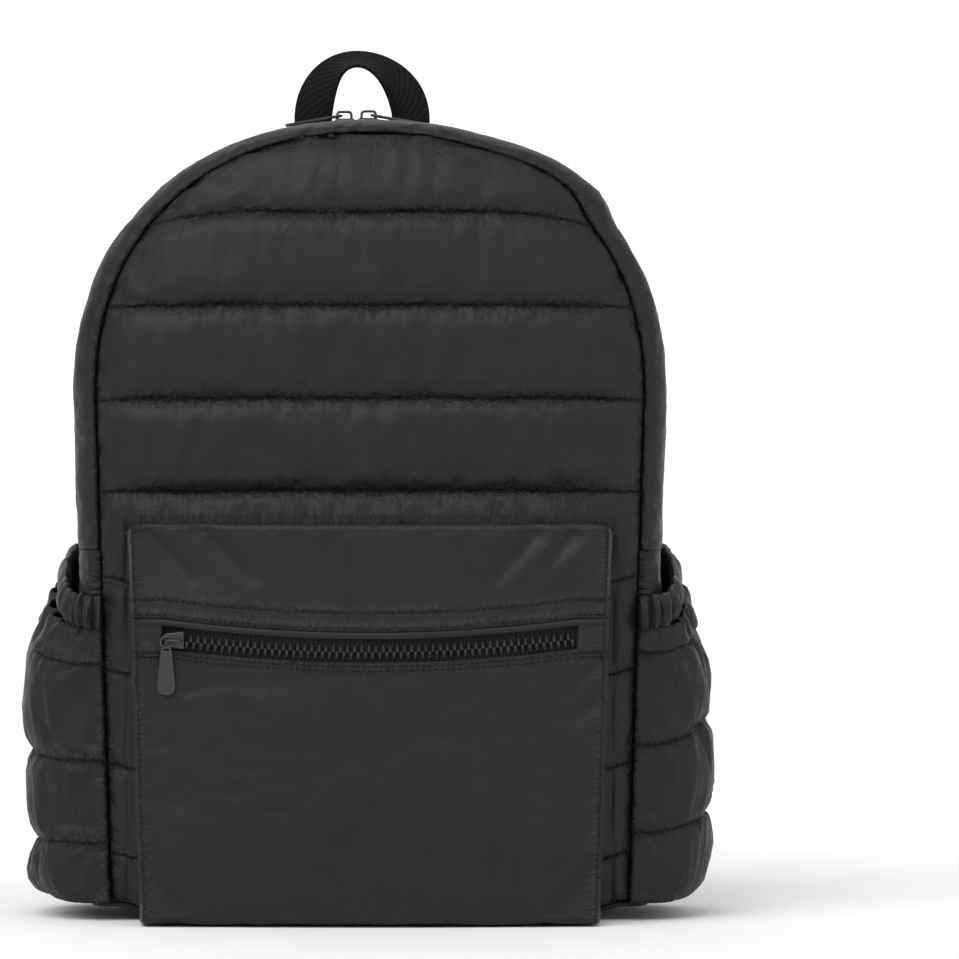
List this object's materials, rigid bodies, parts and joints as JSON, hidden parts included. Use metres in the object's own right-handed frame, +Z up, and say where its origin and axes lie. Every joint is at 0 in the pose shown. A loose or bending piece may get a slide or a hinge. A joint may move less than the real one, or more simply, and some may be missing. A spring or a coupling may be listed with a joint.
{
  "type": "quilted puffer backpack",
  "caption": "Quilted puffer daypack with a zipped arch-shaped main compartment, a zipped front pocket, gathered open side pockets, padded shoulder straps and a webbing carry handle.",
  "frame": {"origin": "middle of the bag's outer box, on the ground it stands on", "axes": "+Z up along the bag's height, +Y towards the wearer's back, front pocket towards -Y, +X to the right in the front view"},
  "size_m": [0.378, 0.211, 0.4712],
  "materials": {
    "nylon": "satin",
    "back_fabric": "matte",
    "webbing": "matte",
    "zip_tape": "matte",
    "zip_teeth": "semi gloss",
    "zip_metal": "satin",
    "buckle": "satin"
  },
  "bodies": {
    "bag": {"front_panel": "nylon", "back_panel": "back_fabric", "gusset_front": "nylon", "gusset_back": "nylon", "side_panel_left": "nylon", "side_panel_right": "nylon", "base_panel": "nylon", "main_zip_tape": "zip_tape", "main_zip_teeth_left": "zip_teeth", "main_zip_teeth_right": "zip_teeth", "main_slider_left": "zip_metal", "main_slider_right": "zip_metal", "front_pocket_flap": "nylon", "front_pocket_lower": "nylon", "front_zip_tape": "zip_tape", "front_zip_teeth": "zip_teeth", "front_slider": "zip_metal", "side_pocket_left": "nylon", "side_pocket_band_left": "nylon", "side_pocket_right": "nylon", "side_pocket_band_right": "nylon", "carry_handle": "webbing", "strap_pad_left": "nylon", "strap_keeper_left": "webbing", "strap_webbing_left": "webbing", "strap_adjuster_left": "buckle", "strap_anchor_left": "nylon", "strap_pad_right": "nylon", "strap_keeper_right": "webbing", "strap_webbing_right": "webbing", "strap_adjuster_right": "buckle", "strap_anchor_right": "nylon"},
    "front_pull": {"front_puller": "zip_metal"},
    "main_pull_left": {"main_puller_left": "zip_metal"},
    "main_pull_right": {"main_puller_right": "zip_metal"}
  },
  "joints": [
    {"name": "front_pull_swing", "type": "hinge", "parent": "bag", "child": "front_pull", "pos_m": [-0.1085, -0.1022, 0.1532], "axis": [0, 1, 0], "range_deg": [-20, 90]},
    {"name": "main_pull_left_lift", "type": "hinge", "parent": "bag", "child": "main_pull_left", "pos_m": [-0.01572, 0.02596, 0.43599], "axis": [0, 1, 0], "range_deg": [0, 100]},
    {"name": "main_pull_right_lift", "type": "hinge", "parent": "bag", "child": "main_pull_right", "pos_m": [0.00091, 0.02596, 0.4363], "axis": [0, -1, 0], "range_deg": [0, 100]}
  ]
}
